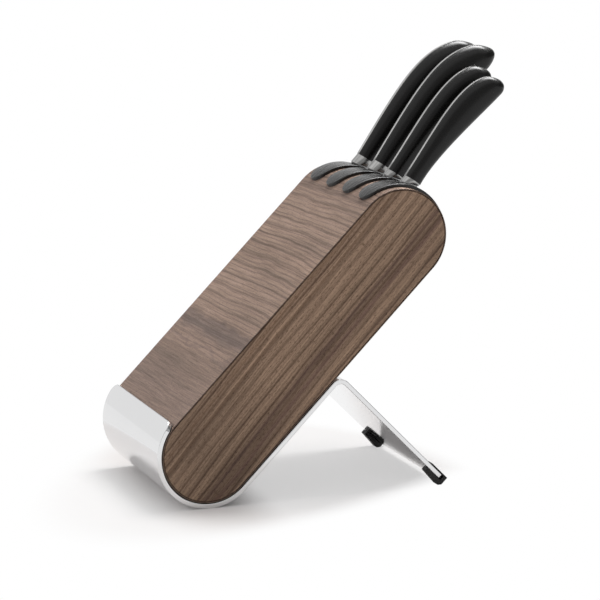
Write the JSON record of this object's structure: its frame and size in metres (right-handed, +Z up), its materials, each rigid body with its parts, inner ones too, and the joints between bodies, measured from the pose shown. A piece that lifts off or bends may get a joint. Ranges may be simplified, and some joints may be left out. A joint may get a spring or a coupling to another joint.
{
  "type": "knife block",
  "caption": "Tilted walnut knife block with rounded ends on a bent polished steel stand, holding knives in magnetic slots.",
  "frame": {"origin": "on the table, midway between the lip of the stand and the furthest handle butt, in the middle of the width", "axes": "+Z up, +X from the lip towards the leg, so the block rises towards +X, and +Y across the slots towards the bread knife"},
  "size_m": [0.3122, 0.145, 0.3341],
  "materials": {
    "polished_steel": "mirror-polished stainless sheet with brushed edges",
    "black_pad": "matt thin pad",
    "foot_rubber": "satin moulded rubber",
    "screw_steel": "plain stainless",
    "insert_brass": "turned",
    "walnut_cross": "oiled walnut, grain across the width",
    "walnut_long": "oiled walnut, grain along the length",
    "walnut_core": "plain sawn walnut",
    "liner_plastic": "fine-textured black",
    "magnet_nickel": "nickel plate",
    "blade_steel": "satin-ground stainless",
    "handle_plastic": "satin black moulded"
  },
  "bodies": {
    "block": {"stand_sheet": "polished_steel", "cradle_pad": "black_pad", "foot_near": "foot_rubber", "foot_far": "foot_rubber", "stand_screws": "screw_steel", "threaded_inserts": "insert_brass", "walnut_wrap": "walnut_cross", "side_panel_near": "walnut_long", "side_panel_far": "walnut_long", "core_board_1": "walnut_core", "core_board_2": "walnut_core", "core_board_3": "walnut_core", "slot_spacer_1": "walnut_core", "slot_spacer_2": "walnut_core", "slot_spacer_3": "walnut_core", "slot_spacer_4": "walnut_core", "slot_liner_1": "liner_plastic", "slot_liner_2": "liner_plastic", "slot_liner_3": "liner_plastic", "slot_liner_4": "liner_plastic", "slot_magnets_1": "magnet_nickel", "slot_magnets_2": "magnet_nickel", "slot_magnets_3": "magnet_nickel", "slot_magnets_4": "magnet_nickel"},
    "bread_knife": {"bread_knife_blade": "blade_steel", "bread_knife_scale_near": "handle_plastic", "bread_knife_scale_far": "handle_plastic"},
    "cooks_knife": {"cooks_knife_blade": "blade_steel", "cooks_knife_scale_near": "handle_plastic", "cooks_knife_scale_far": "handle_plastic"},
    "utility_knife": {"utility_knife_blade": "blade_steel", "utility_knife_scale_near": "handle_plastic", "utility_knife_scale_far": "handle_plastic"},
    "paring_knife": {"paring_knife_blade": "blade_steel", "paring_knife_scale_near": "handle_plastic", "paring_knife_scale_far": "handle_plastic"}
  },
  "joints": [
    {"name": "bread_knife_slide", "type": "slide", "parent": "block", "child": "bread_knife", "axis": [0.7009, 0, 0.7133], "range_m": [0, 0.24]},
    {"name": "cooks_knife_slide", "type": "slide", "parent": "block", "child": "cooks_knife", "axis": [0.7009, 0, 0.7133], "range_m": [0, 0.22]},
    {"name": "utility_knife_slide", "type": "slide", "parent": "block", "child": "utility_knife", "axis": [0.7009, 0, 0.7133], "range_m": [0, 0.16]},
    {"name": "paring_knife_slide", "type": "slide", "parent": "block", "child": "paring_knife", "axis": [0.7009, 0, 0.7133], "range_m": [0, 0.12]}
  ]
}
